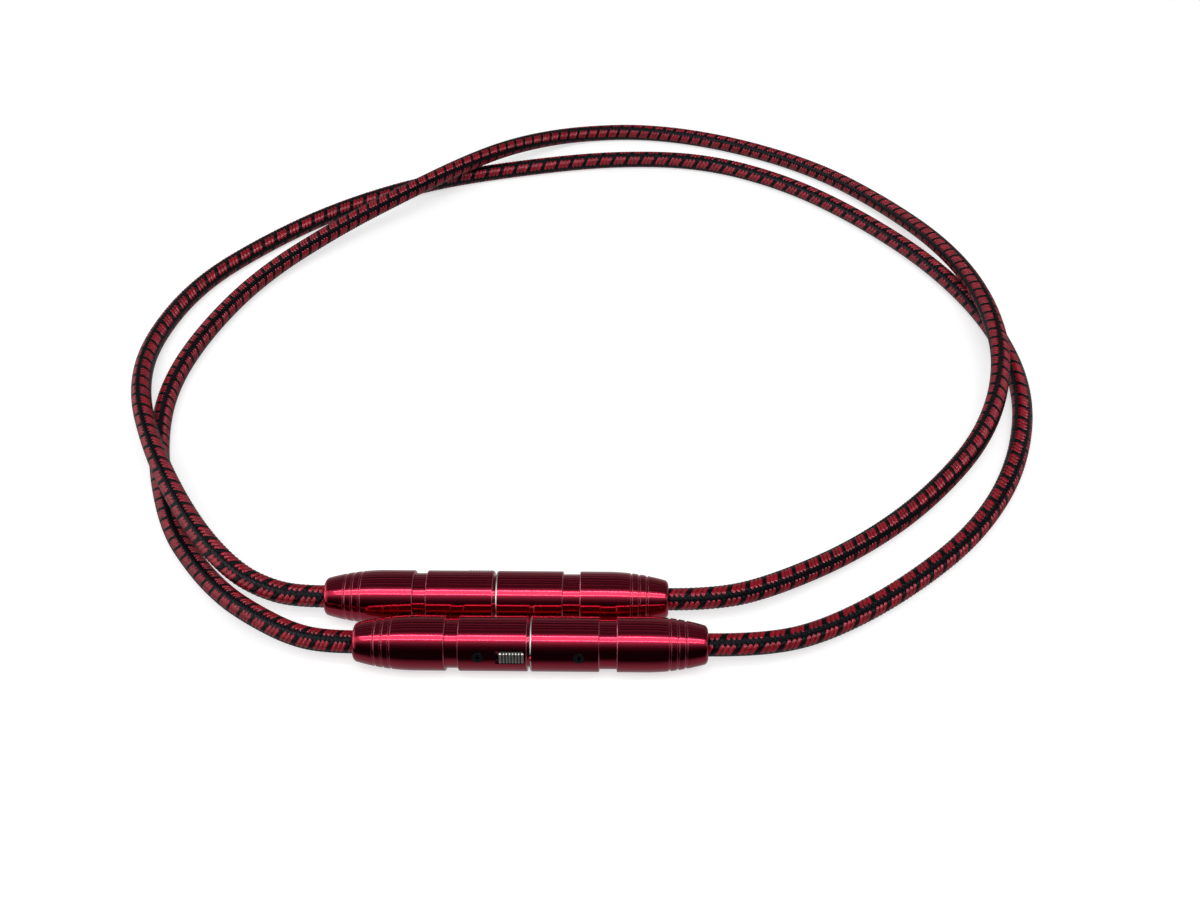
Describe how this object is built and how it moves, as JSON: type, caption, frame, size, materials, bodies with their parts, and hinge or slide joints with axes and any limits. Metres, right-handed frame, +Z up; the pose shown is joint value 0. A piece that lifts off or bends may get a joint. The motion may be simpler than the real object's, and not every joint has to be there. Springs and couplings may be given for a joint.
{
  "type": "balanced audio cable pair",
  "caption": "Two braided audio cables with three-pin metal plugs, mated end to end in a closed double loop; each latch button frees its plug to pull apart.",
  "frame": {"origin": "on the surface that the cables lie on, under the middle of the two mated plug pairs", "axes": "+X along the plugs towards the male ends, +Y away from the viewer across the loop, +Z up"},
  "size_m": [0.3833, 0.3741, 0.0192],
  "materials": {
    "red_shell": "gloss anodised",
    "nickel": "satin nickel",
    "spring_steel": "satin",
    "contacts": "gold plated",
    "black_screw": "black oxide",
    "black_insert": "moulded",
    "collet": "moulded",
    "leads": "satin",
    "jacket": "braided sleeve"
  },
  "bodies": {
    "root": {"front_female_shell": "red_shell", "front_female_tail": "red_shell", "front_female_insert": "black_insert", "front_female_sockets": "contacts", "front_female_latch_spring": "spring_steel", "front_female_set_screw": "black_screw", "front_female_collet": "collet", "front_female_cable_end": "jacket", "front_female_leads": "leads", "back_female_shell": "red_shell", "back_female_tail": "red_shell", "back_female_insert": "black_insert", "back_female_sockets": "contacts", "back_female_latch_spring": "spring_steel", "back_female_set_screw": "black_screw", "back_female_collet": "collet", "back_female_cable_end": "jacket", "back_female_leads": "leads", "cable_one_cord": "jacket", "cable_one_cord_end": "jacket", "cable_two_cord": "jacket", "cable_two_cord_end": "jacket"},
    "front_button": {"front_female_latch_button": "nickel"},
    "front_male_plug": {"front_male_shell": "red_shell", "front_male_tail": "red_shell", "front_male_insert": "black_insert", "front_male_pins": "contacts", "front_male_set_screw": "black_screw", "front_male_collet": "collet", "front_male_cable_end": "jacket", "front_male_leads": "leads"},
    "back_button": {"back_female_latch_button": "nickel"},
    "back_male_plug": {"back_male_shell": "red_shell", "back_male_tail": "red_shell", "back_male_insert": "black_insert", "back_male_pins": "contacts", "back_male_set_screw": "black_screw", "back_male_collet": "collet", "back_male_cable_end": "jacket", "back_male_leads": "leads"}
  },
  "joints": [
    {"name": "front_unplug", "type": "slide", "parent": "root", "child": "front_male_plug", "axis": [1, 0, 0], "range_m": [0, 0.02], "deforming": ["front_female_latch_spring", "cable_two_cord_end"]},
    {"name": "front_latch_press", "type": "slide", "parent": "root", "child": "front_button", "axis": [0, 0.9455, -0.3256], "range_m": [0, 0.0009], "stiffness_N_per_m": 2000, "deforming": ["front_female_latch_spring"]},
    {"name": "back_unplug", "type": "slide", "parent": "root", "child": "back_male_plug", "axis": [1, 0, 0], "range_m": [0, 0.02], "deforming": ["back_female_latch_spring", "cable_one_cord_end"]},
    {"name": "back_latch_press", "type": "slide", "parent": "root", "child": "back_button", "axis": [0, -0.9455, -0.3256], "range_m": [0, 0.0009], "stiffness_N_per_m": 2000, "deforming": ["back_female_latch_spring"]}
  ]
}
